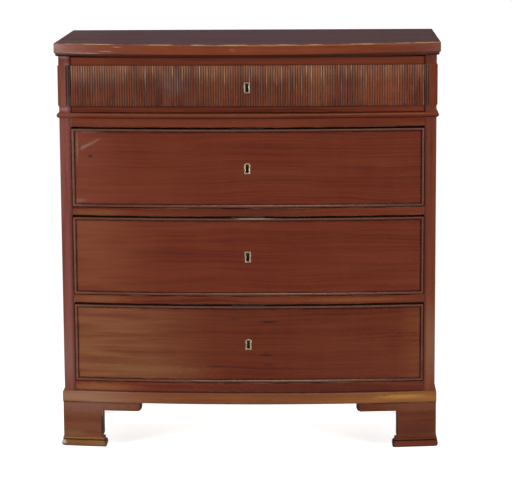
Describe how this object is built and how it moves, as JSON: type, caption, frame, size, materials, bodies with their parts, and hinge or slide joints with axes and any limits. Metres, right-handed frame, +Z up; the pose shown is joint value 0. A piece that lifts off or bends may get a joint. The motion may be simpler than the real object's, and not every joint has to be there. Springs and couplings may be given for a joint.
{
  "type": "bow front chest of drawers",
  "caption": "Mahogany chest of drawers with a bowed front, a fluted frieze drawer over long beaded drawers, brass keyhole rims and bracket feet, for storing clothes and linen.",
  "frame": {"origin": "on the floor, at the middle of the plan", "axes": "+Z up, the front faces -Y, +X to the right of someone facing the front"},
  "size_m": [1.06, 0.555, 1.139],
  "materials": {
    "mahogany": "polished",
    "pine": "bare, aged",
    "brass": "tarnished",
    "iron": "dull"
  },
  "bodies": {
    "carcass": {"top_board": "mahogany", "bed_moulding": "mahogany", "side_panel_left": "mahogany", "side_panel_right": "mahogany", "corner_post_left": "mahogany", "corner_post_right": "mahogany", "frieze_block_left": "mahogany", "frieze_block_right": "mahogany", "back_boards": "pine", "back_nails": "iron", "top_back_rail": "pine", "bottom_board": "pine", "bottom_rail": "mahogany", "lower_rail": "mahogany", "upper_rail": "mahogany", "waist_rail": "mahogany", "waist_moulding": "mahogany", "base_moulding": "mahogany", "drawer_runners": "pine", "drawer_guides": "pine", "drawer_stops": "pine", "top_kickers": "pine", "front_bracket_left": "mahogany", "front_bracket_right": "mahogany", "side_brackets": "mahogany", "rear_brackets": "pine", "foot_pads": "mahogany", "foot_blocks": "pine"},
    "frieze_drawer": {"frieze_drawer_front": "mahogany", "frieze_drawer_fluted_panel": "mahogany", "frieze_drawer_escutcheon": "brass", "frieze_drawer_sides": "pine", "frieze_drawer_back": "pine", "frieze_drawer_bottom": "pine", "frieze_drawer_lock": "iron"},
    "upper_drawer": {"upper_drawer_front": "mahogany", "upper_drawer_bead": "mahogany", "upper_drawer_escutcheon": "brass", "upper_drawer_sides": "pine", "upper_drawer_back": "pine", "upper_drawer_bottom": "pine", "upper_drawer_lock": "iron"},
    "middle_drawer": {"middle_drawer_front": "mahogany", "middle_drawer_bead": "mahogany", "middle_drawer_escutcheon": "brass", "middle_drawer_sides": "pine", "middle_drawer_back": "pine", "middle_drawer_bottom": "pine", "middle_drawer_lock": "iron"},
    "lower_drawer": {"lower_drawer_front": "mahogany", "lower_drawer_bead": "mahogany", "lower_drawer_escutcheon": "brass", "lower_drawer_sides": "pine", "lower_drawer_back": "pine", "lower_drawer_bottom": "pine", "lower_drawer_lock": "iron"},
    "frieze_bolt": {"frieze_drawer_bolt": "iron"},
    "upper_bolt": {"upper_drawer_bolt": "iron"},
    "middle_bolt": {"middle_drawer_bolt": "iron"},
    "lower_bolt": {"lower_drawer_bolt": "iron"}
  },
  "joints": [
    {"name": "frieze_drawer_slide", "type": "slide", "parent": "carcass", "child": "frieze_drawer", "axis": [0, -1, 0], "range_m": [0, 0.33]},
    {"name": "upper_drawer_slide", "type": "slide", "parent": "carcass", "child": "upper_drawer", "axis": [0, -1, 0], "range_m": [0, 0.33]},
    {"name": "middle_drawer_slide", "type": "slide", "parent": "carcass", "child": "middle_drawer", "axis": [0, -1, 0], "range_m": [0, 0.33]},
    {"name": "lower_drawer_slide", "type": "slide", "parent": "carcass", "child": "lower_drawer", "axis": [0, -1, 0], "range_m": [0, 0.33]},
    {"name": "frieze_drawer_bolt_slide", "type": "slide", "parent": "frieze_drawer", "child": "frieze_bolt", "axis": [0, 0, 1], "range_m": [0, 0.01]},
    {"name": "upper_drawer_bolt_slide", "type": "slide", "parent": "upper_drawer", "child": "upper_bolt", "axis": [0, 0, 1], "range_m": [0, 0.01]},
    {"name": "middle_drawer_bolt_slide", "type": "slide", "parent": "middle_drawer", "child": "middle_bolt", "axis": [0, 0, 1], "range_m": [0, 0.01]},
    {"name": "lower_drawer_bolt_slide", "type": "slide", "parent": "lower_drawer", "child": "lower_bolt", "axis": [0, 0, 1], "range_m": [0, 0.01]}
  ]
}
